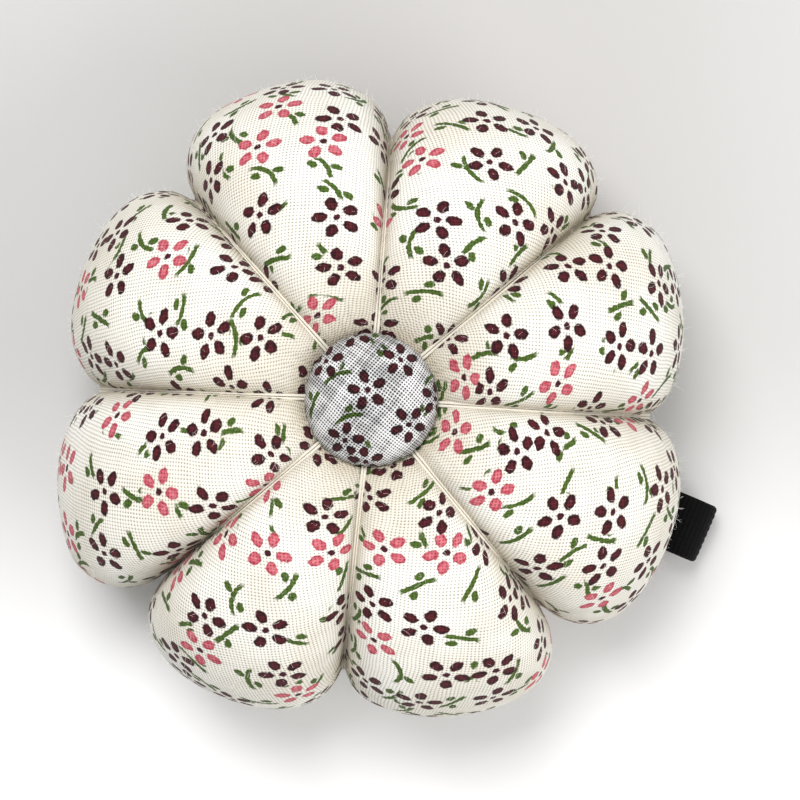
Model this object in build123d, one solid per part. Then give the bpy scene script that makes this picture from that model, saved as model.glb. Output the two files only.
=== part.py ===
from build123d import *
import math
import os

# A wrist pin cushion: a ball of stuffed printed cotton drawn into eight lobes by turns of
# thread, with a covered button in the dimple on top, a stiff disc under felt against the
# wrist, and a loop of elastic that lies flat under the cushion with its fold sticking out.
#
# Millimetres. +Z is up along the axis of the cushion, z = 0 is the table that it lies on,
# and +X is the side where the fold of the elastic sticks out.

# The lobes: the direction of each one's middle, in degrees from +X, and how far it reaches.
LOBES = [
    (41.5, 42.8),
    (86.0, 42.8),
    (131.6, 43.3),
    (177.8, 41.6),
    (222.2, 43.4),
    (265.4, 43.8),
    (310.0, 43.4),
    (356.2, 43.4),
]
LOBE_ROUND = 20.5  # half of a lobe's size outwards and upwards
LOBE_HALF_WIDTH = 17.8
LOBE_MIDDLE_Z = 19.0  # below LOBE_ROUND, so a lobe is pressed flat where it rests
WALL = 0.6  # the cloth and the padding that clings to it
STUFFING_GAP = 0.15
CORE_RADIUS = 12.0
CORE_TOP_Z = 33.4
DIMPLE_RADIUS = 21.5
DIMPLE_MIDDLE_Z = 52.0
TIE_HOLE_RADIUS = 2.6
BELOW = -5.0  # where a shape that is cut out of the underside starts
BEYOND = 60.0  # further out than anything on the cushion
CUT_PAST = 1.0  # how far a shape that is cut out goes past the face that it opens

# The elastic
BAND_WIDTH = 8.2
BAND_THICK = 1.1
BAND_SLACK = 0.3  # the cushion stands this far off the elastic that it doesn't press
FOLD_END_X = 49.2
FOLD_RADIUS = 3.4  # along the middle of the strip, in the fold that sticks out
FOLD_RISE_LENGTH = 12.0
BACK_TURN_X = -19.6  # where the strip turns down behind the disc
FRONT_BEND_RADIUS = 1.6
FRONT_FOOT_RADIUS = 2.5
LAYER_GAP = 0.1
OVERLAP_LENGTH = 18.0
STITCH_ROWS_FROM_END = 2.0
STITCHES_IN_A_ROW = 4
STITCH_RADIUS = 0.15
STITCH_SHARE = 0.7  # of the distance between two stitches that a stitch takes up
STITCH_ROOM = 0.4  # between the overlap and the cushion
SPLIT_X = 24.15  # where the loose end of the loop bends down
SPLIT_GAP = 0.3

# The base: felt, then the disc, then the elastic, then the underside of the cushion
DISC_RADIUS = 18.6
DISC_THICK = 2.0
DISC_TOP_Z = 10.3
FELT_RIM = 0.7
FELT_THICK = 1.1
HOLLOW_RADIUS = 26.5  # the hollow in the underside, inside the ring that the lobes rest on
GATHER_HOLLOW_RADIUS = 6.0
GATHER_HOLLOW_TOP_Z = 14.4
KNOT_RADIUS = 1.9
KNOT_Z = 14.9
KNOT_ROOM = 0.4
GATHER_RADIUS = 4.8
GATHER_THREAD_RADIUS = 0.3
WHIP_STITCHES = 40
WHIP_STITCH_LENGTH = 2.1
WHIP_STITCH_SLANT = 12.0
WHIP_STITCH_STANDOFF = 0.05
WHIP_STITCH_ROOM = 1.0  # from the edge of the elastic to the nearest stitch
THREAD_RADIUS = 0.2

# The cord in each groove: two strands side by side
STRAND_RADIUS = 0.22
STRAND_SPACING = 0.5
BEND_SHARE = 0.45  # of the shorter run beside a corner that its arc takes up
CORD_CLEARANCE = 1.05  # from the bottom of the groove to the middle of the strands
CORD_REST = 0.5  # the same where the cord lies on a surface with no groove
CORD_SLOT_WIDTH = 1.5
CORD_SLOT_DEPTH = 0.8
GROOVE_VIEWPOINT = 15.0  # this far from the axis, at the height of the lobes' middle
GROOVE_HEADINGS = (93, 73, 55, 37, 18, 0, -18, -36, -52)
CORD_START_RADIUS = 3.4
CORD_FOOT_DROP = 0.7  # from the last corner on the groove to the lowest point, under the hollow's edge
CORD_END_RADIUS = 15.6

# The covered button
BUTTON_RADIUS = 8.45
BUTTON_SEAT_Z = 33.6
BUTTON_CLOTH = 0.4
BUTTON_SKIRT = 0.8
BUTTON_DOME = 3.8
BUTTON_METAL = 0.4
BUTTON_FIT = 0.05
BUTTON_LIP_RADIUS = 6.3
PLATE_THICK = 0.5
WIRE_RADIUS = 0.4
WIRE_HALF_WIDTH = 1.8
WIRE_LEG = 1.8
TIE_RADIUS = 0.35
TIE_HALF_WIDTH = 1.6
TIE_TOP_Z = 31.35

# Heights that follow from the sizes above
band_top_z = DISC_TOP_Z + BAND_THICK
overlap_top_z = band_top_z + BAND_THICK
disc_bottom_z = DISC_TOP_Z - DISC_THICK
felt_bottom_z = disc_bottom_z - FELT_THICK
felt_radius = DISC_RADIUS + FELT_RIM
lower_run_z = BAND_THICK / 2
upper_layer_z = lower_run_z + BAND_THICK + LAYER_GAP


def lobe(angle, reach, shrink):
    """One lobe: an ellipse turned about the line across the lobe, so it is round seen from its side."""
    round_radius = LOBE_ROUND - shrink
    half_width = LOBE_HALF_WIDTH - shrink
    outline = Plane.XY * Ellipse(round_radius, half_width)
    half = outline & Plane.XY * Pos(round_radius, 0, 0) * Rectangle(2 * round_radius, 4 * half_width)
    whole = revolve(half, Axis.Y, 360)
    return Rot(0, 0, angle) * Pos(reach - LOBE_ROUND, 0, LOBE_MIDDLE_Z) * whole


def box_between(x0, x1, y0, y1, z0, z1):
    middle = Pos((x0 + x1) / 2, (y0 + y1) / 2, (z0 + z1) / 2)
    return middle * Box(x1 - x0, y1 - y0, z1 - z0)


def upright(radius, z0, z1):
    return Pos(0, 0, (z0 + z1) / 2) * Cylinder(radius, z1 - z0)


def groove_angles():
    """The direction of each groove, midway between the lobes on its two sides."""
    angles = []
    for place, (angle, _) in enumerate(LOBES):
        before = LOBES[place - 1][0]
        if place == 0:
            before -= 360
        angles.append((before + angle) / 2)
    return angles


def underside_hollows(grow):
    """Everything that presses into the underside: the base, the elastic and the cords."""
    side = BAND_WIDTH / 2 + BAND_SLACK + grow
    half_overlap = OVERLAP_LENGTH / 2 + BAND_SLACK + grow
    hollows = upright(HOLLOW_RADIUS + grow, BELOW, DISC_TOP_Z + grow)
    hollows += box_between(
        -HOLLOW_RADIUS, HOLLOW_RADIUS, -side, side, BELOW, band_top_z + LAYER_GAP + grow
    )
    hollows += box_between(
        -half_overlap, half_overlap, -side, side, BELOW, overlap_top_z + STITCH_ROOM + grow
    )
    hollows += box_between(
        0, FOLD_END_X, -side, side, BELOW, upper_layer_z + BAND_THICK / 2 + BAND_SLACK + grow
    )
    hollows += upright(GATHER_HOLLOW_RADIUS + grow, BELOW, GATHER_HOLLOW_TOP_Z + grow)
    hollows += upright(
        KNOT_RADIUS + KNOT_ROOM + grow, BELOW, KNOT_Z + KNOT_RADIUS + KNOT_ROOM + grow
    )
    slot_end = CORD_END_RADIUS - CORD_SLOT_WIDTH
    for angle in groove_angles():
        slot = box_between(
            slot_end - grow,
            HOLLOW_RADIUS,
            -CORD_SLOT_WIDTH / 2 - grow,
            CORD_SLOT_WIDTH / 2 + grow,
            BELOW,
            DISC_TOP_Z + CORD_SLOT_DEPTH + grow,
        )
        hollows += Rot(0, 0, angle) * slot
    return hollows


def lobed_body(shrink):
    """The cushion's whole shape, with every face drawn in by shrink."""
    body = upright(CORE_RADIUS, felt_bottom_z, CORE_TOP_Z - shrink)
    for angle, reach in LOBES:
        body += lobe(angle, reach, shrink)
    body -= underside_hollows(shrink)
    body -= Pos(0, 0, DIMPLE_MIDDLE_Z) * Sphere(DIMPLE_RADIUS + shrink)
    body -= box_between(-BEYOND, BEYOND, -BEYOND, BEYOND, BELOW, shrink)
    return body


def fabric_cover():
    cover = lobed_body(0) - lobed_body(WALL)
    return cover - upright(TIE_HOLE_RADIUS, 0, DIMPLE_MIDDLE_Z)


def stuffing():
    fill = lobed_body(WALL + STUFFING_GAP)
    return fill - upright(TIE_HOLE_RADIUS + STUFFING_GAP, 0, DIMPLE_MIDDLE_Z)


def groove_surface(angle, heading):
    """Where a cord lies over the groove at angle: (distance from the axis, height over the lobes' middle).

    The point is the one met on a line from GROOVE_VIEWPOINT at this heading above the level."""
    start = GROOVE_VIEWPOINT
    across = math.cos(heading)
    up = math.sin(heading)
    found = 0.0
    for lobe_angle, reach in LOBES:
        turn = math.radians(lobe_angle - angle)
        if math.cos(turn) < math.cos(math.radians(360 / len(LOBES))):
            continue
        out = math.cos(turn)
        side = math.sin(turn) * LOBE_ROUND / LOBE_HALF_WIDTH
        offset = start * out - (reach - LOBE_ROUND)
        a = (across * out) ** 2 + (across * side) ** 2 + up**2
        b = 2 * (across * out * offset + across * side * start * side)
        c = offset**2 + (start * side) ** 2 - LOBE_ROUND**2
        found = max(found, (-b + math.sqrt(b * b - 4 * a * c)) / (2 * a))
    return start + (found + CORD_CLEARANCE) * across, (found + CORD_CLEARANCE) * up


def cord_route(angle):
    """The cord's corners as (distance from the axis, height), from under the button to the disc."""
    corners = []
    for radius in (CORD_START_RADIUS, BUTTON_RADIUS + CORD_REST):
        dimple = DIMPLE_MIDDLE_Z - math.sqrt(DIMPLE_RADIUS**2 - radius**2)
        corners.append((radius, dimple + CORD_REST))
    for heading in GROOVE_HEADINGS:
        radius, height = groove_surface(angle, math.radians(heading))
        corners.append((radius, LOBE_MIDDLE_Z + height))
    wall_radius = HOLLOW_RADIUS - CORD_REST
    corners.append((wall_radius, corners[-1][1] - CORD_FOOT_DROP))
    corners.append((wall_radius, DISC_TOP_Z + CORD_SLOT_DEPTH / 2))
    corners.append((CORD_END_RADIUS, DISC_TOP_Z + CORD_SLOT_DEPTH / 2))
    return corners


def cord(angle):
    """Two strands side by side along one groove."""
    corners = cord_route(angle)
    strands = []
    for side in (-STRAND_SPACING / 2, STRAND_SPACING / 2):
        points = [(radius, side, height) for radius, height in corners]
        radii = []
        for before, here, after in zip(points, points[1:], points[2:]):
            run = min(math.dist(before, here), math.dist(here, after))
            turn = (Vector(*here) - Vector(*before)).get_angle(Vector(*after) - Vector(*here))
            radii.append(BEND_SHARE * run / math.tan(math.radians(turn) / 2))
        route = FilletPolyline(*points, radius=radii)
        start = Plane(origin=route @ 0, z_dir=route % 0)
        strands.append(sweep(start * Circle(STRAND_RADIUS), path=route))
    return Rot(0, 0, angle) * Compound(strands)


def tie_thread():
    """The thread that holds the button down: up one side, through its wire loop and down the other."""
    leg_bottom = KNOT_Z
    arch_z = TIE_TOP_Z - TIE_HALF_WIDTH
    leg = Pos(0, TIE_HALF_WIDTH, (leg_bottom + arch_z) / 2) * Cylinder(TIE_RADIUS, arch_z - leg_bottom)
    ring = Pos(0, 0, arch_z) * Rot(0, 90, 0) * Torus(TIE_HALF_WIDTH, TIE_RADIUS)
    room = 2 * TIE_HALF_WIDTH
    arch = ring & box_between(-room, room, -room, room, arch_z, arch_z + room)
    knot = Pos(0, 0, KNOT_Z) * Sphere(KNOT_RADIUS)
    return knot + leg + mirror(leg, Plane.XZ) + arch


def gather_thread():
    return Pos(0, 0, GATHER_HOLLOW_TOP_Z - GATHER_THREAD_RADIUS - LAYER_GAP) * Torus(
        GATHER_RADIUS, GATHER_THREAD_RADIUS
    )


def dome(radius, skirt_bottom, dome_start, height):
    """A round skirt with a shallow dome on it."""
    ball = (radius**2 + height**2) / (2 * height)
    skirt = upright(radius, skirt_bottom, dome_start)
    cap = Pos(0, 0, dome_start + height - ball) * Sphere(ball)
    cap = cap & upright(radius, dome_start, dome_start + 2 * height)
    return skirt + cap


dome_start_z = BUTTON_SEAT_Z + BUTTON_CLOTH + BUTTON_SKIRT
metal_bottom_z = BUTTON_SEAT_Z + BUTTON_CLOTH + BUTTON_FIT
metal_radius = BUTTON_RADIUS - BUTTON_CLOTH - BUTTON_FIT


def button_cloth():
    """The cloth over the button's shell, turned in under its edge."""
    outer = dome(BUTTON_RADIUS, BUTTON_SEAT_Z, dome_start_z, BUTTON_DOME + BUTTON_CLOTH)
    room = dome(
        BUTTON_RADIUS - BUTTON_CLOTH, BUTTON_SEAT_Z + BUTTON_CLOTH, dome_start_z, BUTTON_DOME
    )
    return outer - room - upright(BUTTON_LIP_RADIUS, BUTTON_SEAT_Z - CUT_PAST, dome_start_z)


def button_shell():
    outer = dome(metal_radius, metal_bottom_z, dome_start_z, BUTTON_DOME - BUTTON_FIT)
    inner = dome(
        metal_radius - BUTTON_METAL,
        metal_bottom_z - CUT_PAST,
        dome_start_z,
        BUTTON_DOME - BUTTON_FIT - BUTTON_METAL,
    )
    return outer - inner


def button_back_plate():
    return upright(metal_radius - BUTTON_METAL - BUTTON_FIT, metal_bottom_z, metal_bottom_z + PLATE_THICK)


def button_wire_loop():
    """A wire bent into a U, its two ends against the back plate."""
    turn_z = metal_bottom_z - WIRE_LEG
    leg = Pos(WIRE_HALF_WIDTH, 0, metal_bottom_z - WIRE_LEG / 2) * Cylinder(WIRE_RADIUS, WIRE_LEG)
    ring = Pos(0, 0, turn_z) * Rot(90, 0, 0) * Torus(WIRE_HALF_WIDTH, WIRE_RADIUS)
    room = 2 * WIRE_HALF_WIDTH
    bend = ring & box_between(-room, room, -room, room, turn_z - room, turn_z)
    return leg + mirror(leg, Plane.YZ) + bend


def base_disc():
    return upright(DISC_RADIUS, disc_bottom_z, DISC_TOP_Z)


def base_felt():
    """Felt over the wrist's side of the disc, turned up round its edge."""
    return upright(felt_radius, felt_bottom_z, DISC_TOP_Z) - upright(
        DISC_RADIUS, disc_bottom_z, DISC_TOP_Z + CUT_PAST
    )


def whip_stitches():
    """Slanting stitches round the felt's edge, left out where the elastic comes out."""
    radius = felt_radius + THREAD_RADIUS + WHIP_STITCH_STANDOFF
    middle_z = (DISC_TOP_Z + felt_bottom_z) / 2
    stitches = []
    for place in range(WHIP_STITCHES):
        angle = (place + 0.5) * 360 / WHIP_STITCHES
        if abs(radius * math.sin(math.radians(angle))) < BAND_WIDTH / 2 + WHIP_STITCH_ROOM:
            continue
        stitch = Pos(radius, 0, middle_z) * Rot(WHIP_STITCH_SLANT, 0, 0)
        stitch *= Cylinder(THREAD_RADIUS, WHIP_STITCH_LENGTH)
        stitches.append(Rot(0, 0, angle) * stitch)
    return Compound(stitches)


def strip_along(route):
    """The elastic along a route drawn in the plane through the axis and the fold."""
    start = Plane(origin=route @ 0, x_dir=(0, 1, 0), z_dir=route % 0)
    return sweep(start * Rectangle(BAND_WIDTH, BAND_THICK), path=route)


def band_held_run():
    """The elastic from the split, over the disc, round behind it and back along the table."""
    middle_z = DISC_TOP_Z + BAND_THICK / 2
    back_radius = (middle_z - lower_run_z) / 2
    front_x = -BACK_TURN_X + FRONT_BEND_RADIUS
    end_x = SPLIT_X - SPLIT_GAP / 2
    route = Curve() + [
        Line((end_x, 0, upper_layer_z), (front_x + FRONT_FOOT_RADIUS, 0, upper_layer_z)),
        ThreePointArc(
            (front_x + FRONT_FOOT_RADIUS, 0, upper_layer_z),
            (
                front_x + FRONT_FOOT_RADIUS * (1 - math.sqrt(0.5)),
                0,
                upper_layer_z + FRONT_FOOT_RADIUS * (1 - math.sqrt(0.5)),
            ),
            (front_x, 0, upper_layer_z + FRONT_FOOT_RADIUS),
        ),
        Line(
            (front_x, 0, upper_layer_z + FRONT_FOOT_RADIUS),
            (front_x, 0, middle_z - FRONT_BEND_RADIUS),
        ),
        ThreePointArc(
            (front_x, 0, middle_z - FRONT_BEND_RADIUS),
            (
                front_x - FRONT_BEND_RADIUS * (1 - math.sqrt(0.5)),
                0,
                middle_z - FRONT_BEND_RADIUS * (1 - math.sqrt(0.5)),
            ),
            (-BACK_TURN_X, 0, middle_z),
        ),
        Line((-BACK_TURN_X, 0, middle_z), (BACK_TURN_X, 0, middle_z)),
        ThreePointArc(
            (BACK_TURN_X, 0, middle_z),
            (BACK_TURN_X - back_radius, 0, lower_run_z + back_radius),
            (BACK_TURN_X, 0, lower_run_z),
        ),
        Line((BACK_TURN_X, 0, lower_run_z), (end_x, 0, lower_run_z)),
    ]
    strip = strip_along(Wire(route.edges()))
    half = OVERLAP_LENGTH / 2
    side = BAND_WIDTH / 2
    return strip + box_between(-half, half, -side, side, band_top_z, overlap_top_z)


def band_free_end():
    """The loose end of the loop: along the table, round the fold and back on top of itself."""
    start_x = SPLIT_X + SPLIT_GAP / 2
    turn_x = FOLD_END_X - FOLD_RADIUS - BAND_THICK / 2
    top_z = lower_run_z + 2 * FOLD_RADIUS
    rise = top_z - upper_layer_z
    rise_x = turn_x - FOLD_RISE_LENGTH
    half_way = (turn_x - FOLD_RISE_LENGTH / 2, 0, upper_layer_z + rise / 2)
    route = Curve() + [
        Line((start_x, 0, lower_run_z), (turn_x, 0, lower_run_z)),
        ThreePointArc(
            (turn_x, 0, lower_run_z),
            (turn_x + FOLD_RADIUS, 0, lower_run_z + FOLD_RADIUS),
            (turn_x, 0, top_z),
        ),
        TangentArc((turn_x, 0, top_z), half_way, tangent=(-1, 0, 0)),
        TangentArc((rise_x, 0, upper_layer_z), half_way, tangent=(1, 0, 0)),
        Line((rise_x, 0, upper_layer_z), (start_x, 0, upper_layer_z)),
    ]
    return strip_along(Wire(route.edges()))


def band_stitches():
    """Two rows of stitches across the overlap of the elastic's ends."""
    spacing = BAND_WIDTH / (STITCHES_IN_A_ROW + 1)
    stitches = []
    for row in (-1, 1):
        for place in range(STITCHES_IN_A_ROW):
            across = (place - (STITCHES_IN_A_ROW - 1) / 2) * spacing
            middle = Pos(
                row * (OVERLAP_LENGTH / 2 - STITCH_ROWS_FROM_END), across, overlap_top_z + STITCH_RADIUS
            )
            stitches.append(middle * Rot(90, 0, 0) * Cylinder(STITCH_RADIUS, STITCH_SHARE * spacing))
    return Compound(stitches)


def main():
    os.makedirs("parts", exist_ok=True)
    pieces = {
        "fabric_cover": fabric_cover(),
        "stuffing": stuffing(),
        "tie_thread": tie_thread(),
        "gather_thread": gather_thread(),
        "button_cloth": button_cloth(),
        "button_shell": button_shell(),
        "button_back_plate": button_back_plate(),
        "button_wire_loop": button_wire_loop(),
        "base_disc": base_disc(),
        "base_felt": base_felt(),
        "whip_stitches": whip_stitches(),
        "band_held_run": band_held_run(),
        "band_free_end": band_free_end(),
        "band_stitches": band_stitches(),
    }
    for place, angle in enumerate(groove_angles(), start=1):
        pieces[f"cord_{place}"] = cord(angle)
    for name, piece in pieces.items():
        export_step(piece, f"parts/{name}.step")


main()
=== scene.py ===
import math

import bpy
import numpy as np
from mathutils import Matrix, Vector, noise

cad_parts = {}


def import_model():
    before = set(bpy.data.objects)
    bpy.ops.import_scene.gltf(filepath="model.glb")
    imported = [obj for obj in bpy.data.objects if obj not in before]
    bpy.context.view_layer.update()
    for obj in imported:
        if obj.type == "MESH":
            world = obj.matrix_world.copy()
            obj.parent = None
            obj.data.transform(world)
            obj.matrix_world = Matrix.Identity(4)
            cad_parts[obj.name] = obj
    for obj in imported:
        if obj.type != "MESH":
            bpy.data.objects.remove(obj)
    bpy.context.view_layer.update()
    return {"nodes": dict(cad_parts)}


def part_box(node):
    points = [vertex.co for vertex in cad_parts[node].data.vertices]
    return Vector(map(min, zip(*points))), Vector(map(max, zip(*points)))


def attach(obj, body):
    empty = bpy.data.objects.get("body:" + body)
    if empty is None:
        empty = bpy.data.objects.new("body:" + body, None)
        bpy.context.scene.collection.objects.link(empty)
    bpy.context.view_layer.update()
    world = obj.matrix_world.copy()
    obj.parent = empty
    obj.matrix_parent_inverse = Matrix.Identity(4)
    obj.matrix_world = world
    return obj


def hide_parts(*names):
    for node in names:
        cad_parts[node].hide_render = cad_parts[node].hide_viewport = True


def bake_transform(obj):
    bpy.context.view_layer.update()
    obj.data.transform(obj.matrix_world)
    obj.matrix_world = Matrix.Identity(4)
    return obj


MM = 0.001
TURN = 2 * math.pi

# The cushion, in millimetres in the frame of the CAD part. Each lobe has the direction it
# points in, in degrees from +X, how far it reaches from the axis, and how much further it
# reaches at its far side than at its middle. Each groove has its direction and its reach.
LOBES = [
    (44.0, 42.2, 3.0),
    (86.0, 42.0, -1.7),
    (131.6, 42.4, 0.9),
    (177.4, 40.6, -0.8),
    (225.0, 42.6, 3.8),
    (265.4, 42.9, -0.8),
    (312.5, 42.6, 2.8),
    (356.2, 42.6, -0.9),
]
GROOVES = [
    (19.8, 36.0),
    (63.2, 37.2),
    (108.8, 34.2),
    (154.5, 34.4),
    (201.0, 35.0),
    (243.4, 34.0),
    (287.3, 35.0),
    (332.6, 34.2),
]
USUAL_REACH = 42.6
USUAL_NOTCH = 35.0
# From the hole under the button, over the crown and the side, to the gathered hole in the
# underside: (from the axis, height) down the middle of a lobe, and the same down a groove.
PROFILE = [
    (2.8, 31.0, 2.8, 31.0),
    (5.6, 31.9, 5.6, 31.4),
    (8.2, 33.2, 8.2, 32.0),
    (10.2, 35.2, 10.2, 32.8),
    (13.0, 37.4, 12.8, 33.8),
    (17.0, 39.0, 16.4, 34.6),
    (22.0, 39.5, 20.6, 34.5),
    (28.0, 38.9, 25.4, 32.5),
    (33.0, 37.2, 28.9, 29.6),
    (37.0, 34.4, 31.6, 26.4),
    (40.0, 30.5, 33.5, 22.9),
    (42.0, 25.4, 34.6, 19.4),
    (42.6, 19.8, 35.0, 16.2),
    (42.3, 14.2, 34.8, 12.6),
    (41.0, 8.8, 33.9, 8.8),
    (38.8, 4.4, 32.4, 5.7),
    (36.0, 1.7, 30.7, 3.7),
    (33.0, 0.4, 29.3, 2.8),
    (30.0, 0.0, 28.2, 2.6),
    (27.9, 0.7, 27.3, 3.2),
    (26.7, 3.0, 26.5, 4.6),
    (26.2, 6.0, 25.9, 7.0),
    (25.2, 9.0, 24.8, 9.6),
    (23.0, 10.9, 22.6, 11.2),
    (19.0, 11.3, 19.0, 11.6),
    (12.0, 11.7, 12.0, 12.0),
    (6.5, 12.9, 6.5, 13.1),
    (4.4, 14.0, 4.4, 14.2),
]
LOBE_COLUMNS = 32
ROWS = 116
CURVE_STEPS = 12  # points worked out between two corners of an outline
# Across a lobe, on its side before its middle and on its side after it: how square it is, and
# how gently it rises out of the groove (0.5 is upright, 1 is a plain slope).
FULLNESS = (4.6, 3.6)
SHOULDER = (0.6, 0.7)
FIXED_MIDDLE = 16.0  # inside this distance from the axis all lobes are the same
PINNED_HOLE = 9.0  # inside this distance from the axis the cloth can't move in the simulation
PINNED_HEIGHT = 12.5  # nor below this height and inside PINNED_REACH, in the underside
PINNED_REACH = 27.5
SIM_SCALE = 10.0  # the simulation runs on a copy this many times larger
SIM_FRAMES = 12
SIM_SOFTNESS = 0.3  # how far the cut of the cloth is from the creased shape to a plain ball
SIM_SLACK = 1.05  # how much larger the cloth is than the space it covers
SIM_CAP = 1.4  # the furthest that the simulation may move the cloth
SIM_RIPPLE = 0.12  # the unevenness that the cloth starts with
CREASE = 0.42  # the deepest crease beside a groove
GATHER = 0.30  # the deepest gather under the button
GATHERS = 47
LUMP = 0.55  # the largest unevenness of the stuffing
UNDER_GATHER = 0.35  # the deepest gather in the underside
UNDER_GATHERS = 64
LOBE_MIDDLE = 18.0  # the height of the widest part of the cushion
UNDERSIDE = 14.0  # below this height and inside HOLLOW_EDGE is the hollow of the underside
HOLLOW_EDGE = 30.0
TOP_SIDE = 25.0  # above this height is the top of the cushion
TABLE_GAP = 0.06  # from the surface it rests on to the lowest cloth

WEAVE_PITCH = 0.39
BUTTON_WEAVE_PITCH = 0.39
FLOWER_PITCH = 7.3
PETALS = 5
PETAL_PLACE = (1.76, 0.0)  # the middle of a petal, from the middle of its flower
PETAL_HALF = (0.88, 0.65)  # half its length and half its width
FLOWER_MIDDLE = 0.40
FLOWER_ROOM = (2.2, 2.6)  # sprigs fade out between these distances from a flower's middle
MAROON_SHARE = 0.75  # of the flowers; the rest are pink
SPRIG_PITCH = 6.0
STEM_HALF = (2.1, 0.29)
LEAF_HALF = (0.68, 0.43)
SECOND_LEAF_HALF = (0.66, 0.43)
LEAF_PAIRS = 0.75  # the share of sprigs that have a second leaf

CAMERA_ROLL = 23.2  # the picture's horizontal is this far round from +X
CAMERA_HEIGHT = 450.0
PICTURE_WIDTH = 105.28  # across the picture at the cushion's widest height
PICTURE_SHIFT = 0.03625  # how far off the middle the cushion stands, as a share of that
SENSOR_WIDTH = 36.0
FLOOR_SIZE = 900.0

FIBRES = 8500
FIBRE_RADIUS = 0.012
FIBRE_REACH = (0.3, 1.05)
FIBRE_POINTS = 5
FIBRE_LOWEST = 6.0  # no fibres grow below this height

STRAND_RADIUS = 0.19
STRAND_SPACING = 0.41
CORD_LIFT = 1.05  # from the bottom of the groove to the middle of the strands
CORD_LIFT_BELOW = 0.45  # the same in the hollow of the underside
CORD_SINK = 0.35  # how much less of that lift is left down the side
CORD_START = 5.0  # from the axis, under the button
CORD_END = 20.5  # from the axis, in the underside
CORD_STEP = 0.35

BUTTON_SEAT = 33.6
BUTTON_TOP = 38.6
BUTTON_PRINT = (61.0, 23.5)  # the place on the printed cloth that the button is cut from
BUTTON_GRAIN = 38.0  # how far the button's cloth is turned from the picture's horizontal
BUTTON_GATHERS = 34
BUTTON_ROWS = 60
BUTTON_COLUMNS = 160

BAND_WIDTH = 8.2
BAND_THICK = 1.1
BAND_RIBS = 9
BAND_RIB_DEPTH = 0.10
BAND_RIB_POINTS = 9
BAND_STEP = 0.45
BAND_RISE = 12.0  # the length over which the strip rises to its fold
BAND_RISE_START = 33.25  # where that rise starts, from the axis
BAND_DRIFT = 1.05  # how far to one side the folded end of the elastic lies
BAND_DRIFT_START = 28.0
BAND_DRIFT_LENGTH = 17.0


# ---------------------------------------------------------------- meshes


def unit(vector):
    return vector / np.maximum(np.linalg.norm(vector, axis=-1, keepdims=True), 1e-12)


def eased(value):
    """0 below 0, 1 above 1, and a smooth rise between."""
    value = np.clip(value, 0, 1)
    return value * value * (3 - 2 * value)


def hump(value, centre, width):
    """1 where value is at the centre, and close to 0 at twice the width from it."""
    return np.exp(-(((value - centre) / width) ** 2))


def distance_along(path):
    """How far along a line each of its points is."""
    steps = np.linalg.norm(np.diff(path, axis=0), axis=1)
    return np.concatenate([[0], np.cumsum(steps)])


def smoothed(values, times):
    """A row of values or points with each one drawn towards its neighbours, but for the ends."""
    out = values.copy()
    for _ in range(times):
        out[1:-1] = 0.25 * out[:-2] + 0.5 * out[1:-1] + 0.25 * out[2:]
    return out


def evenly(path, spacing):
    """Points along a line, evenly spaced."""
    along = distance_along(path)
    at = np.linspace(0, along[-1], max(2, int(along[-1] / spacing)))
    return np.stack([np.interp(at, along, path[:, k]) for k in range(3)], axis=1)


def make_mesh(name, points, faces, uv=None, material=None):
    """A smooth mesh from points in millimetres. uv holds one pair for each corner of each face."""
    mesh = bpy.data.meshes.new(name)
    mesh.from_pydata((np.asarray(points) * MM).tolist(), [], faces)
    mesh.shade_smooth()
    if uv is not None:
        layer = mesh.uv_layers.new(name="cloth")
        layer.uv.foreach_set("vector", np.asarray(uv, np.float32).ravel())
    piece = bpy.data.objects.new(name, mesh)
    bpy.context.scene.collection.objects.link(piece)
    if material is not None:
        mesh.materials.append(material)
    return piece


def grid_faces(rows, columns, wrap):
    """The faces of a grid of points stored row by row, closed round its columns if wrap is true."""
    faces = []
    last = columns if wrap else columns - 1
    for row in range(rows - 1):
        for column in range(last):
            beside = (column + 1) % columns
            a = row * columns + column
            b = row * columns + beside
            faces.append((a, a + columns, b + columns, b))
    return faces


def grid_uv(spots):
    """The uv of each face's corners, from a grid of spots with one more row and column than the
    faces have."""
    return np.stack([spots[:-1, :-1], spots[1:, :-1], spots[1:, 1:], spots[:-1, 1:]], axis=2)


def smooth_profile(corners, count):
    """Points along a smooth curve through the corners, evenly spaced in their first two
    coordinates, and how far along the curve each one is."""
    corners = np.array(corners, float)
    padded = np.vstack([2 * corners[0] - corners[1], corners, 2 * corners[-1] - corners[-2]])
    fine = []
    for i in range(len(corners) - 1):
        before, here, there, after = padded[i : i + 4]
        slope = there - before
        bend = 2 * before - 5 * here + 4 * there - after
        twist = 3 * here - 3 * there + after - before
        for t in np.linspace(0, 1, CURVE_STEPS, endpoint=False):
            fine.append(0.5 * (2 * here + slope * t + bend * t**2 + twist * t**3))
    fine.append(corners[-1])
    fine = np.array(fine)
    along = distance_along(fine[:, :2])
    at = np.linspace(0, along[-1], count)
    points = [np.interp(at, along, fine[:, k]) for k in range(fine.shape[1])]
    return np.stack(points, axis=1), at


# ---------------------------------------------------------------- materials


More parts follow.
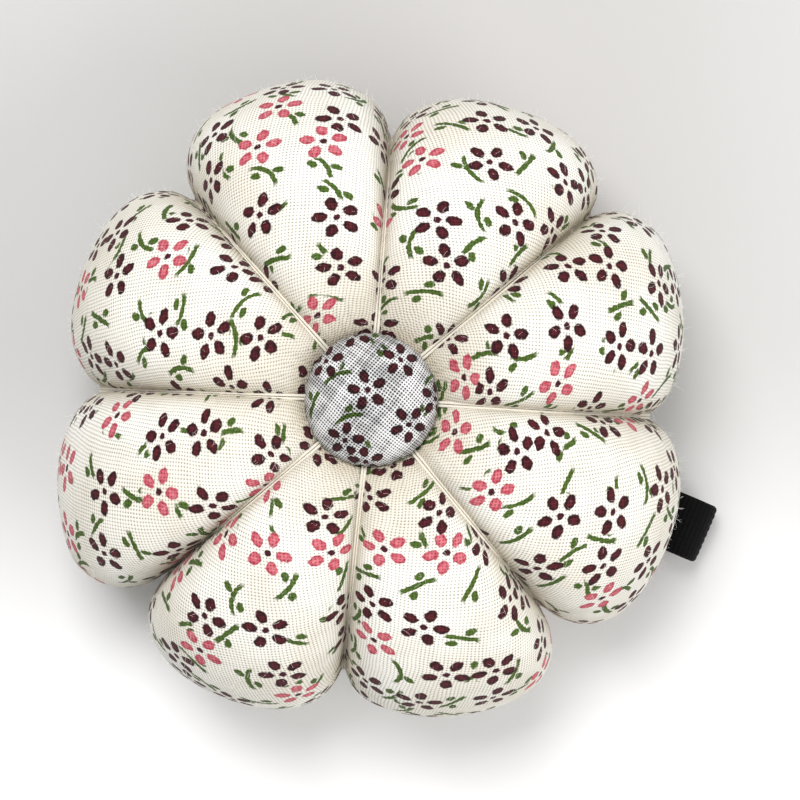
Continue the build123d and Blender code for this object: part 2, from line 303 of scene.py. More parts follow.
class Nodes:
    """Builds one material; each method adds a node and gives back its output."""

    def __init__(self, name):
        self.material = bpy.data.materials.new(name)
        self.material.use_nodes = True
        self.tree = self.material.node_tree
        self.shader = self.tree.nodes["Principled BSDF"]

    def add(self, kind, inputs, **settings):
        node = self.tree.nodes.new(kind)
        for key, value in settings.items():
            setattr(node, key, value)
        for key, value in inputs.items():
            self.feed(node.inputs[key], value)
        return node

    def feed(self, socket, value):
        if isinstance(value, bpy.types.NodeSocket):
            self.tree.links.new(value, socket)
        else:
            socket.default_value = value

    def math(self, operation, *values, clamp=False):
        inputs = dict(enumerate(values))
        return self.add("ShaderNodeMath", inputs, operation=operation, use_clamp=clamp).outputs[0]

    def vector(self, operation, *values):
        inputs = dict(enumerate(values))
        return self.add("ShaderNodeVectorMath", inputs, operation=operation).outputs[0]

    def length(self, value):
        node = self.add("ShaderNodeVectorMath", {0: value}, operation="LENGTH")
        return node.outputs["Value"]

    def split(self, value):
        return self.add("ShaderNodeSeparateXYZ", {0: value}).outputs[:3]

    def join(self, x, y, z=0.0):
        return self.add("ShaderNodeCombineXYZ", {0: x, 1: y, 2: z}).outputs[0]

    def step(self, value, low, high, start=0.0, end=1.0):
        """Goes smoothly from start to end as value goes from low to high."""
        inputs = {"Value": value, 1: low, 2: high, 3: start, 4: end}
        node = self.add("ShaderNodeMapRange", inputs, interpolation_type="SMOOTHSTEP")
        return node.outputs[0]

    def noise(self, at, scale, detail=2.0, roughness=0.5):
        inputs = {"Vector": at, "Scale": scale, "Detail": detail, "Roughness": roughness}
        return self.add("ShaderNodeTexNoise", inputs).outputs[0]

    def noise_vector(self, at, scale, detail=1.0):
        inputs = {"Vector": at, "Scale": scale, "Detail": detail}
        return self.add("ShaderNodeTexNoise", inputs).outputs["Color"]

    def mix(self, factor, first, second, blend="MIX"):
        """Colours mixed by factor. A plain colour is three numbers."""
        node = self.tree.nodes.new("ShaderNodeMix")
        node.data_type = "RGBA"
        node.blend_type = blend
        for socket, value in ((node.inputs[6], first), (node.inputs[7], second)):
            self.feed(socket, (*value, 1.0) if isinstance(value, tuple) else value)
        self.feed(node.inputs[0], factor)
        return node.outputs[2]

    def cloth_uv(self):
        return self.add("ShaderNodeUVMap", {}, uv_map="cloth").outputs[0]

    def position(self):
        """Where the point is on the object, in millimetres."""
        place = self.add("ShaderNodeTexCoord", {}).outputs["Object"]
        return self.vector("MULTIPLY", place, (1 / MM, 1 / MM, 1 / MM))

    def bump(self, height, distance_mm, strength=1.0):
        inputs = {"Height": height, "Distance": distance_mm * MM, "Strength": strength}
        return self.add("ShaderNodeBump", inputs).outputs[0]

    def finish(self, color, roughness, normal=None, **fixed):
        self.feed(self.shader.inputs["Base Color"], color)
        self.feed(self.shader.inputs["Roughness"], roughness)
        if normal is not None:
            self.feed(self.shader.inputs["Normal"], normal)
        for key, value in fixed.items():
            self.shader.inputs[key.replace("_", " ")].default_value = value
        return self.material


def plain_weave(n, at, pitch, openness, unevenness):
    """A plain weave at points in millimetres: (height of the threads, holes between them)."""
    wander = n.vector("SUBTRACT", n.noise_vector(at, 0.22), (0.5, 0.5, 0.5))
    at = n.vector("ADD", at, n.vector("MULTIPLY", wander, (0.5, 0.5, 0.0)))
    x, y, _ = n.split(at)
    wave_x = n.math("SINE", n.math("MULTIPLY", x, math.pi / pitch))
    wave_y = n.math("SINE", n.math("MULTIPLY", y, math.pi / pitch))
    warp = n.math("ABSOLUTE", wave_x)
    weft = n.math("ABSOLUTE", wave_y)
    over = n.step(n.math("MULTIPLY", wave_x, wave_y), -0.25, 0.25)
    warp_top = n.math("MULTIPLY", warp, n.math("MULTIPLY_ADD", weft, 0.45, 0.55))
    weft_top = n.math("MULTIPLY", weft, n.math("MULTIPLY_ADD", warp, 0.45, 0.55))
    height = n.math("MULTIPLY_ADD", over, n.math("SUBTRACT", warp_top, weft_top), weft_top)
    open_at = n.math("MAXIMUM", warp, weft)
    slack_warp = n.noise(n.join(x, n.math("MULTIPLY", y, 0.06)), 1.3, 1.0)
    slack_weft = n.noise(n.join(n.math("MULTIPLY", x, 0.06), y), 1.3, 1.0)
    slack = n.math("ADD", n.math("ADD", slack_warp, slack_weft), n.noise(at, 0.35))
    looseness = n.step(slack, 1.1, 1.9, openness - unevenness, openness + unevenness)
    holes = n.math("SUBTRACT", 1.0, n.math("DIVIDE", open_at, looseness), clamp=True)
    return height, n.step(holes, 0.0, 0.55)


def motif_cell(n, at, pitch, offset):
    """Cells about pitch apart: (position in the cell, turned at random, three random numbers)."""
    moved = n.vector("ADD", at, (offset, offset, 0.0))
    inputs = {"Vector": moved, "Scale": 1 / pitch, "Randomness": 0.5}
    cells = n.add("ShaderNodeTexVoronoi", inputs, voronoi_dimensions="2D")
    local = n.vector("SUBTRACT", moved, cells.outputs["Position"])
    random = n.split(cells.outputs["Color"])
    turned = n.add(
        "ShaderNodeVectorRotate",
        {"Vector": local, "Angle": n.math("MULTIPLY", random[0], TURN)},
        rotation_type="Z_AXIS",
    )
    return turned.outputs[0], random


def oval(n, x, y, centre, half_size, turn=0.0):
    """0 at the middle of an oval, 1 on its edge, and more outside."""
    dx = n.math("SUBTRACT", x, centre[0])
    dy = n.math("SUBTRACT", y, centre[1])
    c = math.cos(turn)
    s = math.sin(turn)
    along = n.math("ADD", n.math("MULTIPLY", dx, c), n.math("MULTIPLY", dy, s))
    across = n.math("SUBTRACT", n.math("MULTIPLY", dy, c), n.math("MULTIPLY", dx, s))
    a = n.math("DIVIDE", along, half_size[0])
    b = n.math("DIVIDE", across, half_size[1])
    return n.math("SQRT", n.math("ADD", n.math("MULTIPLY", a, a), n.math("MULTIPLY", b, b)))


def printed_flowers(n, at, ground):
    """Small five-petalled flowers and green sprigs printed on a ground colour."""
    ragged = n.vector("SUBTRACT", n.noise_vector(at, 1.9), (0.5, 0.5, 0.5))
    at = n.vector("ADD", at, n.vector("MULTIPLY", ragged, (0.42, 0.42, 0.0)))

    # Flowers: five oval petals that stand clear of a small dark middle
    place, random = motif_cell(n, at, FLOWER_PITCH, 0.0)
    x, y, _ = n.split(place)
    angle = n.math("ARCTAN2", y, x)
    sector = TURN / PETALS
    folded = n.math("WRAP", angle, sector / 2, -sector / 2)
    radius = n.length(place)
    along = n.math("MULTIPLY", radius, n.math("COSINE", folded))
    across = n.math("MULTIPLY", radius, n.math("SINE", folded))
    petal = oval(n, along, across, PETAL_PLACE, PETAL_HALF)
    middle = n.math("DIVIDE", radius, FLOWER_MIDDLE)
    pink = n.math("GREATER_THAN", random[1], MAROON_SHARE)
    tone = n.step(n.math("MULTIPLY_ADD", petal, -0.45, n.noise(at, 1.6)), 0.0, 0.5)
    maroon_color = n.mix(tone, (0.020, 0.004, 0.006), (0.085, 0.011, 0.016))
    pink_color = n.mix(tone, (0.40, 0.055, 0.085), (0.60, 0.155, 0.185))
    petal_color = n.mix(pink, maroon_color, pink_color)

    # Sprigs: a curved stem with two leaves, which keep out of the flowers
    clear = n.step(radius, *FLOWER_ROOM)
    place, random = motif_cell(n, at, SPRIG_PITCH, 43.0)
    x, y, _ = n.split(place)
    bend = n.math("MULTIPLY_ADD", random[1], 0.34, -0.17)
    curve = n.math("MULTIPLY", bend, n.math("SUBTRACT", n.math("MULTIPLY", x, x), 1.0))
    stem = n.math(
        "MAXIMUM",
        n.math("DIVIDE", n.math("ABSOLUTE", n.math("SUBTRACT", y, curve)), STEM_HALF[1]),
        n.math("DIVIDE", n.math("ABSOLUTE", x), STEM_HALF[0]),
    )
    leaf = oval(n, x, y, (0.95, 0.95), LEAF_HALF, 0.7)
    second_leaf = oval(n, x, y, (-0.75, -0.95), SECOND_LEAF_HALF, 0.3)
    left_out = n.math("GREATER_THAN", random[2], LEAF_PAIRS)
    second_leaf = n.math("ADD", second_leaf, left_out)
    sprig = n.math("MINIMUM", stem, n.math("MINIMUM", leaf, second_leaf))
    green = n.mix(n.noise(at, 1.1), (0.026, 0.062, 0.007), (0.095, 0.155, 0.028))

    color = n.mix(n.math("MULTIPLY", n.step(sprig, 1.12, 0.84), clear), ground, green)
    color = n.mix(n.step(petal, 1.10, 0.86), color, petal_color)
    return n.mix(n.step(middle, 1.2, 0.8), color, (0.05, 0.008, 0.015))


def printed_cotton(name, ground, shade, weave, gap_shade_color, gap_shade_strength):
    """Printed plain-weave cotton: ground is its colour, and shade the colour of the painted shade
    in its folds.

    weave is the pitch of its threads, how open it is and how uneven."""
    n = Nodes(name)
    at = n.cloth_uv()
    height, holes = plain_weave(n, at, *weave)
    # Painted shade: the cloth is darkened towards the shade colour by the fold value on each point
    fold = n.add("ShaderNodeAttribute", {}, attribute_name="fold").outputs["Fac"]
    mottle = n.noise(n.position(), 0.09, 3.0)
    half_shade = tuple((light + dark) / 2 for light, dark in zip(ground, shade))
    base = n.mix(n.step(mottle, 0.3, 0.75), ground, half_shade)
    base = n.mix(fold, base, shade)
    color = printed_flowers(n, at, base)
    # Painted shade in the weave: the cloth is darker where the threads dip low
    threads = n.step(height, 0.2, 0.95, 0.80, 1.0)
    color = n.mix(1.0, color, n.join(threads, threads, threads), "MULTIPLY")
    # Painted shade in the gaps between the threads
    color = n.mix(n.math("MULTIPLY", holes, gap_shade_strength), color, gap_shade_color, "MULTIPLY")
    fibres = n.noise(at, 6.0, 3.0, 0.7)
    relief = n.math("ADD", height, n.math("MULTIPLY", fibres, 0.35))
    roughness = n.step(height, 0.0, 1.0, 0.95, 0.80)
    return n.finish(
        color,
        roughness,
        n.bump(relief, 0.09, 0.55),
        Sheen_Weight=0.07,
        Sheen_Roughness=0.5,
        Specular_IOR_Level=0.15,
    )


def thread_material(name, light, dark):
    """Plied cotton thread: its UV runs along the thread in u and round it in v."""
    n = Nodes(name)
    u, v, _ = n.split(n.cloth_uv())
    twist = n.math("ADD", n.math("MULTIPLY", u, 1.1), n.math("MULTIPLY", v, 3.0))
    ply = n.math("ABSOLUTE", n.math("SINE", n.math("MULTIPLY", twist, math.pi)))
    fibre = n.noise(n.join(n.math("MULTIPLY", twist, 3.0), n.math("MULTIPLY", u, 0.8)), 3.0, 3.0)
    # Painted shade: the valleys between the plies are darker
    color = n.mix(n.step(ply, 0.0, 0.5, 0.55, 1.0), dark, light)
    color = n.mix(n.math("MULTIPLY", fibre, 0.45), color, dark)
    relief = n.math("ADD", n.math("MULTIPLY", ply, 0.6), n.math("MULTIPLY", fibre, 0.5))
    return n.finish(color, 0.8, n.bump(relief, 0.04, 0.6), Sheen_Weight=0.3, Sheen_Roughness=0.5)


def plain_thread(name, light, dark):
    """Thread on pieces with no UV of their own."""
    n = Nodes(name)
    at = n.position()
    fibre = n.noise(at, 5.0, 3.0, 0.7)
    color = n.mix(n.step(fibre, 0.3, 0.7), dark, light)
    return n.finish(color, 0.85, n.bump(fibre, 0.06), Sheen_Weight=0.3, Sheen_Roughness=0.5)


def elastic_material():
    """Black ribbed elastic: u runs along it and v across it, in millimetres."""
    n = Nodes("black_ribbed_elastic")
    at = n.cloth_uv()
    u, v, _ = n.split(at)
    stitch = n.math("ABSOLUTE", n.math("SINE", n.math("MULTIPLY", u, math.pi / 0.62)))
    fine = n.math("ABSOLUTE", n.math("SINE", n.math("MULTIPLY", v, math.pi / 0.3)))
    fibre = n.noise(at, 5.0, 3.0, 0.7)
    knit = n.math("MULTIPLY", stitch, n.math("MULTIPLY_ADD", fine, 0.5, 0.5))
    relief = n.math("ADD", knit, fibre)
    # Painted shade in the hollows of the knit, which are darker, with random tone from the fibres
    color = n.mix(n.step(relief, 0.4, 1.5), (0.0006, 0.0006, 0.0007), (0.003, 0.003, 0.0034))
    lint = n.step(n.noise(at, 2.2, 4.0, 0.75), 0.66, 0.78)
    color = n.mix(n.math("MULTIPLY", lint, 0.12), color, (0.05, 0.05, 0.05))
    roughness = n.step(fibre, 0.2, 0.8, 0.55, 0.8)
    return n.finish(color, roughness, n.bump(relief, 0.10, 0.8), Specular_IOR_Level=0.07)


def felt_material():
    n = Nodes("pale_felt")
    at = n.position()
    tangle = n.vector("MULTIPLY", n.noise_vector(at, 1.2), (1.4, 1.4, 1.4))
    fibres = n.noise(n.vector("ADD", at, tangle), 2.6, 5.0, 0.75)
    patch = n.noise(at, 0.12, 2.0)
    color = n.mix(n.step(fibres, 0.3, 0.7), (0.60, 0.54, 0.43), (0.80, 0.75, 0.64))
    color = n.mix(n.step(patch, 0.4, 0.8, 0.0, 0.25), color, (0.66, 0.60, 0.48))
    return n.finish(color, 0.95, n.bump(fibres, 0.25, 0.8), Sheen_Weight=0.4, Sheen_Roughness=0.6)


def metal_material():
    n = Nodes("button_metal")
    at = n.position()
    rings = n.noise(n.join(n.length(at), 0.0), 9.0, 3.0)
    wear = n.noise(at, 0.8, 4.0)
    color = n.mix(n.step(wear, 0.35, 0.75), (0.62, 0.63, 0.65), (0.46, 0.46, 0.47))
    roughness = n.step(rings, 0.2, 0.8, 0.25, 0.45)
    return n.finish(color, roughness, n.bump(rings, 0.02, 0.4), Metallic=1.0)


def plastic_material():
    n = Nodes("white_plastic")
    at = n.position()
    grain = n.noise(at, 3.0, 4.0)
    color = n.mix(grain, (0.76, 0.76, 0.73), (0.84, 0.84, 0.81))
    return n.finish(color, n.step(grain, 0.2, 0.8, 0.35, 0.5), n.bump(grain, 0.03, 0.4))


# ---------------------------------------------------------------- the cushion's cover


def neighbour_grooves(index):
    """The grooves before and after a lobe, as (direction relative to the lobe, reach)."""
    angle = LOBES[index][0]
    around = [((direction - angle + 180) % 360 - 180, reach) for direction, reach in GROOVES]
    before = max((g for g in around if g[0] < 0), key=lambda g: g[0])
    after = min((g for g in around if g[0] > 0), key=lambda g: g[0])
    return before, after


def stretched(profile, reach, usual):
    """A profile made to reach as far as one lobe or groove does, with its middle left alone."""
    out = profile.copy()
    share = np.clip((profile[:, 0] - FIXED_MIDDLE) / (usual - FIXED_MIDDLE), 0, 1)
    off_table = profile[:, 1] > 1.0
    out[:, 0] += (reach - usual) * share * np.where(off_table, 1.0, share)
    return out


def across_lobe(columns):
    """How far across its lobe each point of the cover is: 0 in a groove, 1 in the middle."""
    place = np.tile(np.arange(columns), ROWS) % LOBE_COLUMNS
    return np.minimum(place, LOBE_COLUMNS - place) / (LOBE_COLUMNS / 2)


def wobble(points, scale, seed):
    """A smooth random number for each point, about -1 to 1, the same in each run."""
    shift = Vector((seed * 7.3, seed * 3.1, seed * 5.7))
    return np.array([noise.noise(Vector(p) * scale + shift) for p in points])


def cushion_grid(softness):
    """The cover's points, ROWS by columns, and how far down the cloth each row is.

    softness 0 is drawn into the grooves, and 1 is a ball with no grooves."""
    profile, crown_s = smooth_profile(PROFILE, ROWS)
    crown = profile[:, :2]
    groove = profile[:, 2:]
    columns = []
    for index, (angle, reach, lean) in enumerate(LOBES):
        before, after = neighbour_grooves(index)
        for column in range(LOBE_COLUMNS):
            even = -1 + 2 * column / LOBE_COLUMNS
            edge_angle, edge_reach = before if even < 0 else after
            u = (abs(even) + math.sin(abs(even) * math.pi / 2)) / 2
            side = stretched(groove, edge_reach, USUAL_NOTCH)
            middle = stretched(crown, reach + lean * math.copysign(u, even), USUAL_REACH)
            bulge = (1 - u ** FULLNESS[even > 0]) ** SHOULDER[even > 0]
            bulge = bulge + (1 - bulge) * softness
            spot = side + (middle - side) * bulge
            turn = math.radians(angle + u * edge_angle)
            out = spot[:, 0]
            place = [out * math.cos(turn), out * math.sin(turn), spot[:, 1]]
            columns.append(np.stack(place, axis=1))
    return np.stack(columns, axis=1), crown_s


def cloth_map(grid, crown_s):
    """Where each corner of each lobe lies on the flat round of cloth, in millimetres.

    The distance down the lobe's middle and the distance across it are kept, and each
    lobe's piece of cloth is turned to the lobe's direction, so the grain runs the same
    way all round."""
    corners = []
    grain = math.radians(-CAMERA_ROLL)
    for index, (angle, _, _) in enumerate(LOBES):
        first = index * LOBE_COLUMNS
        taken = [(first + k) % grid.shape[1] for k in range(LOBE_COLUMNS + 1)]
        lobe = grid[:, taken]
        steps = np.linalg.norm(np.diff(lobe, axis=1), axis=2)
        across = np.concatenate([np.zeros((ROWS, 1)), np.cumsum(steps, axis=1)], axis=1)
        across -= across[:, LOBE_COLUMNS // 2][:, None]
        before, after = neighbour_grooves(index)
        wedge = math.tan(math.radians(after[0] - before[0]) / 2) * crown_s
        half = np.maximum((across[:, -1] - across[:, 0]) / 2, 1e-6)
        across = across * np.clip(wedge / half, 0.82, 1.12)[:, None]
        turn = math.radians(angle) + grain
        down = np.repeat(crown_s[:, None], LOBE_COLUMNS + 1, axis=1)
        x = down * math.cos(turn) - across * math.sin(turn)
        y = down * math.sin(turn) + across * math.cos(turn)
        corners.append(np.stack([x, y], axis=2))
    return corners


def inflate(piece, rest, pinned):
    """Blows the cover up from inside as cloth, while the cords hold its grooves."""
    piece.shape_key_add(name="Basis")
    key = piece.shape_key_add(name="uncreased")
    key.data.foreach_set("co", (rest * MM * SIM_SCALE).astype(np.float32).ravel())
    key.value = 0.0
    group = piece.vertex_groups.new(name="held")
    group.add([int(i) for i in np.flatnonzero(pinned)], 1.0, "REPLACE")
    cloth = piece.modifiers.new("cloth", "CLOTH")
    settings = cloth.settings
    settings.vertex_group_mass = "held"
    settings.quality = 6
    settings.mass = 0.01
    settings.time_scale = 3.0
    settings.tension_stiffness = 15
    settings.compression_stiffness = 15
    settings.shear_stiffness = 8
    settings.bending_stiffness = 0.05
    settings.use_pressure = True
    settings.uniform_pressure_force = 170.0
    settings.effector_weights.gravity = 0.0
    settings.rest_shape_key = key
    cloth.collision_settings.use_collision = False
    cloth.point_cache.frame_end = SIM_FRAMES
    for frame_number in range(1, SIM_FRAMES + 1):
        bpy.context.scene.frame_set(frame_number)
    shaped = piece.evaluated_get(bpy.context.evaluated_depsgraph_get())
    points = np.zeros(len(piece.data.vertices) * 3, np.float32)
    shaped.data.vertices.foreach_get("co", points)
    bpy.context.scene.frame_set(1)
    piece.modifiers.remove(cloth)
    piece.shape_key_clear()
    piece.vertex_groups.clear()
    return points.reshape(-1, 3).astype(float) / (MM * SIM_SCALE)


def simulated(grid, faces):
    """The cover's points after the simulation, none of them moved further than SIM_CAP."""
    start = grid.reshape(-1, 3)
    middle = np.array([0, 0, LOBE_MIDDLE])
    rest = middle + SIM_SLACK * (cushion_grid(SIM_SOFTNESS)[0].reshape(-1, 3) - middle)
    ripple = wobble(start, 0.45, 3)
    from_axis = np.linalg.norm(start[:, :2], axis=1)
    hollow = (start[:, 2] < PINNED_HEIGHT) & (from_axis < PINNED_REACH)
    in_groove = across_lobe(grid.shape[1]) == 0
    pinned = in_groove | (from_axis < PINNED_HOLE) | hollow
    outward = unit(start - middle)
    nudged = start + outward * (ripple * SIM_RIPPLE * ~pinned)[:, None]
    copy = make_mesh("simulated", nudged * SIM_SCALE, faces)
    moved = inflate(copy, rest, pinned)
    bpy.data.objects.remove(copy)
    change = moved - start
    size = np.linalg.norm(change, axis=1, keepdims=True)
    change *= np.minimum(1, SIM_CAP / np.maximum(size, 1e-9))
    return (start + change).reshape(grid.shape)


def puckers(grid):
    """Small creases that run out from the grooves and from under the button."""
    flat = grid.reshape(-1, 3)
    columns = grid.shape[1]
    u = across_lobe(columns)
    row = np.repeat(np.arange(ROWS), columns)
    from_axis = np.linalg.norm(flat[:, :2], axis=1)
    angle = np.arctan2(flat[:, 1], flat[:, 0])

    # Creases beside the grooves, deepest near the cushion's widest part
    near_groove = hump(u, 0, 0.30) * np.clip(u / 0.06, 0, 1)
    along = row * 0.62 + 2.6 * wobble(flat * [1, 1, 0.6], 0.16, 1)
    strength = np.clip(wobble(flat, 0.09, 2) + 0.35, 0, 1)
    rim = 0.35 + 0.65 * hump(from_axis, 38, 7.0)
    crease = CREASE * np.sin(along * 1.5) * near_groove * strength * rim

    # Gathers that run out from under the button
    near_button = hump(from_axis, 9.5, 4.5) * (flat[:, 2] > TOP_SIDE)
    gather = GATHER * np.sin(angle * GATHERS + 3 * wobble(flat, 0.12, 5)) * near_button * u

    # Lumps of the stuffing, and gathers in the middle of the underside
    lumps = LUMP * wobble(flat, 0.075, 4) * np.clip(u * 2, 0, 1)
    below = (flat[:, 2] < UNDERSIDE) & (from_axis < HOLLOW_EDGE)
    near_middle = below * np.clip((26 - from_axis) / 8, 0, 1)
    gathered = UNDER_GATHER * np.sin(angle * UNDER_GATHERS) * near_middle

    out = unit(flat - np.array([0, 0, LOBE_MIDDLE]))
    amount = (crease + gather + lumps) * ~below - gathered
    return (flat + out * amount[:, None]).reshape(grid.shape)


def on_table(grid):
    """Presses the lobes flat where they rest."""
    out = grid.copy()
    low = out[..., 2] < 2 * TABLE_GAP
    out[..., 2][low] = TABLE_GAP
    return out


def clear_of_band(grid):
    """Lifts the underside off the elastic that runs across it and out under one lobe."""
    out = grid.copy()
    x, y, z = out[..., 0], out[..., 1], out[..., 2]
    from_axis = np.hypot(x, y)
    under = eased((BAND_WIDTH / 2 + 2.6 - np.abs(y)) / 1.8)

    # Over the base disc, but for the hole in the middle that the tie thread comes through
    roof = 13.0
    above_disc = (from_axis < 25.5) & (z < UNDERSIDE) & (z > 9)
    lifted = np.where(above_disc, np.maximum(z, roof), z)
    raised = z + (lifted - z) * under * np.clip((from_axis - 5) / 2, 0, 1)

    # Past the disc, where the strip runs out along the table and then rises to its fold
    flat_top = 2.75
    fold_rise = 5.6
    front = (x > 22) & (z < 9)
    strip_top = flat_top + fold_rise * eased((x - BAND_RISE_START) / BAND_RISE)
    short_of_top = np.maximum(strip_top - raised, 0)
    out[..., 2] = raised + short_of_top * under * front
    return out


def painted_fold_shade(grid, columns):
    """How much painted shade each point of the cloth gets: 1 in a groove or by the button, 0 on the
    open lobe.
    """
    flat = grid.reshape(-1, 3)
    from_axis = np.linalg.norm(flat[:, :2], axis=1)
    # Painted shade: darker in the grooves and beside the button
    groove = hump(across_lobe(columns), 0, 0.17)
    past_button = np.maximum(from_axis - 8.6, 0)
    button = hump(past_button, 0, 2.4) * (flat[:, 2] > TOP_SIDE)
    # Painted shade where the top dips towards the middle, and on the low sides and the underside
    dip = 0.45 * np.clip((21 - from_axis) / 12, 0, 1)
    low = 0.35 * np.clip((12 - flat[:, 2]) / 16, 0, 1)
    deepest = np.maximum.reduce([0.9 * groove, 0.9 * button, dip])
    return np.clip(deepest + low, 0, 1)


def set_painted_shade(piece, values):
    """Gives each point of a piece the amount of painted shade that its material darkens the cloth
    by.
    """
    fold = piece.data.attributes.new("fold", "FLOAT", "POINT")
    fold.data.foreach_set("value", values.astype(np.float32))


def make_cover(material):
    """The printed cotton cover: one cloth, gathered into eight lobes."""
    grid, crown_s = cushion_grid(0.0)
    columns = grid.shape[1]
    faces = grid_faces(ROWS, columns, wrap=True)
    uv = np.concatenate([grid_uv(lobe) for lobe in cloth_map(grid, crown_s)], axis=1)
    grid = simulated(grid, faces)
    grid = on_table(clear_of_band(puckers(grid)))
    cover = make_mesh("cushion_cover", grid.reshape(-1, 3), faces, uv, material)
    # Painted shade in the cover's grooves, round the button and on its low sides
    set_painted_shade(cover, painted_fold_shade(grid, columns))
    finer = cover.modifiers.new("finer", "SUBSURF")
    finer.levels = 1
    finer.render_levels = 1
    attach(cover, "cushion")
    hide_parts("fabric_cover", "stuffing")
    return grid


# ---------------------------------------------------------------- threads


def tube(path, normals, radius, sides=8):
    """Rings of points round a path, with uv along it and round it in millimetres."""
    path = np.asarray(path, float)
    forward = unit(np.gradient(path, axis=0))
    up = unit(normals - (normals * forward).sum(1)[:, None] * forward)
    side = np.cross(forward, up)
    turn = np.linspace(0, TURN, sides, endpoint=False)
    rings = path[:, None] + radius * (
        np.cos(turn)[None, :, None] * side[:, None] + np.sin(turn)[None, :, None] * up[:, None]
    )
    along = distance_along(path)
    faces = grid_faces(len(path), sides, wrap=True)
    round_it = np.linspace(0, 1, sides + 1)
    uv = grid_uv(np.stack(np.meshgrid(along, round_it, indexing="ij"), axis=2))
    return rings.reshape(-1, 3), faces, uv.reshape(-1, 2)


def joined_tubes(tubes):
    """Several tubes as one list of points, faces and uv."""
    points = []
    faces = []
    uv = []
    for tube_points, tube_faces, tube_uv in tubes:
        start = len(points)
        points += list(tube_points)
        faces += [tuple(i + start for i in face) for face in tube_faces]
        uv.append(tube_uv)
    return np.array(points), faces, np.concatenate(uv)


def make_cord(number, grid, material):
    """Two strands of thread side by side in one groove, from under the button to the base."""
    column = grid.shape[1] // len(LOBES) * (number % len(LOBES))
    line = grid[:, column]
    from_axis = np.linalg.norm(line[:, :2], axis=1)
    first = int(np.argmax(from_axis > CORD_START))
    last = len(line) - int(np.argmax(from_axis[::-1] > CORD_END))
    line = evenly(line[first:last], CORD_STEP)
    from_axis = np.linalg.norm(line[:, :2], axis=1)
    hidden = (line[:, 2] < 12) & (from_axis < 28)
    deep = np.clip((from_axis - 22) / 12, 0, 1)
    lift = np.where(hidden, CORD_LIFT_BELOW, CORD_LIFT - CORD_SINK * deep)
    line = smoothed(line, 8)
    lift = smoothed(lift, 8)
    forward = unit(np.gradient(line, axis=0))
    across = unit(np.cross([0, 0, 1.0], line * [1, 1, 0]))
    outward = unit(np.cross(forward, across))
    tubes = []
    for strand in (-1, 1):
        drift = wobble(line, 0.11, number * 2 + strand)
        gap = STRAND_SPACING / 2 * (1 + 0.25 * drift)
        height = lift + 0.10 * wobble(line, 0.2, number * 5 + strand)
        path = line + across * (strand * gap)[:, None] + outward * height[:, None]
        tubes.append(tube(path, outward, STRAND_RADIUS))
    points, faces, uv = joined_tubes(tubes)
    cord = make_mesh(f"groove_cord_{number}", points, faces, uv, material)
    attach(cord, "cushion")
    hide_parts(f"cord_{number}")
    return cord


def make_fuzz(grid, material):
    """Fine loose fibres that stand off the cloth."""
    random = np.random.default_rng(11)
    flat = grid.reshape(-1, 3)
    usable = np.flatnonzero(flat[:, 2] > FIBRE_LOWEST)
    chosen = random.choice(usable, FIBRES, replace=False)
    heart = np.array([0, 0, 16.0])
    t = np.linspace(0, 1, FIBRE_POINTS)[:, None]
    tubes = []
    for index in chosen:
        root = flat[index]
        out = unit(root - heart)
        lean = unit(out + random.normal(0, 0.75, 3))
        curl = random.normal(0, 0.35, 3)
        reach = random.uniform(*FIBRE_REACH)
        path = root + reach * (lean * t + curl * t**2)
        normals = np.tile(np.cross(lean, curl) + 1e-6, (FIBRE_POINTS, 1))
        tubes.append(tube(path, normals, FIBRE_RADIUS, sides=3))
    points, faces, uv = joined_tubes(tubes)
    fuzz = make_mesh("cotton_fuzz", points, faces, uv, material)
    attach(fuzz, "cushion")
    return fuzz


# ---------------------------------------------------------------- the button


def make_button(material):
    """The button's printed cloth, drawn tight over its dome and turned in under the edge."""
    profile = [
        (0.0, BUTTON_TOP),
        (2.5, BUTTON_TOP - 0.22),
        (4.8, BUTTON_TOP - 0.95),
        (6.6, BUTTON_TOP - 2.05),
        (7.8, BUTTON_TOP - 3.15),
        (8.38, BUTTON_TOP - 4.1),
        (8.4, BUTTON_SEAT + 0.35),
        (8.1, BUTTON_SEAT + 0.04),
        (7.2, BUTTON_SEAT),
        (6.4, BUTTON_SEAT + 0.12),
    ]
    line, along = smooth_profile(profile, BUTTON_ROWS)
    turn = np.linspace(0, TURN, BUTTON_COLUMNS, endpoint=False)
    radius = line[:, 0][:, None] * (1 + 0.006 * np.sin(turn * 3 + 1)[None])
    tucked = np.clip((along - 8.5) / 2.0, 0, 1)[:, None]
    radius = radius + 0.10 * tucked * np.sin(turn * BUTTON_GATHERS)[None]
    height = np.repeat(line[:, 1][:, None], BUTTON_COLUMNS, axis=1)
    points = np.stack([radius * np.cos(turn), radius * np.sin(turn), height], axis=2)
    grain = math.radians(BUTTON_GRAIN - CAMERA_ROLL)
    closed = np.append(turn, TURN) + grain
    flat_x = BUTTON_PRINT[0] + along[:, None] * np.cos(closed)[None]
    flat_y = BUTTON_PRINT[1] + along[:, None] * np.sin(closed)[None]
    faces = grid_faces(BUTTON_ROWS, BUTTON_COLUMNS, wrap=True)
    uv = grid_uv(np.stack([flat_x, flat_y], axis=2))
    button = make_mesh("button_cover", points.reshape(-1, 3), faces, uv, material)
    # Painted shade on the cloth turned in under the button's edge
    painted_edge_shade = np.repeat(np.clip((along - 7.8) / 2.0, 0, 1) * 0.7, BUTTON_COLUMNS)
    set_painted_shade(button, painted_edge_shade)
    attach(button, "button")
    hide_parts("button_cloth")
    return button


# ---------------------------------------------------------------- the elastic


def arc(centre, radius, start, end, count):
    """Points along an arc in the plane through the axis and the fold; angles in degrees."""
    turn = np.radians(np.linspace(start, end, count))
    return [(centre[0] + radius * math.cos(a), centre[1] + radius * math.sin(a)) for a in turn]


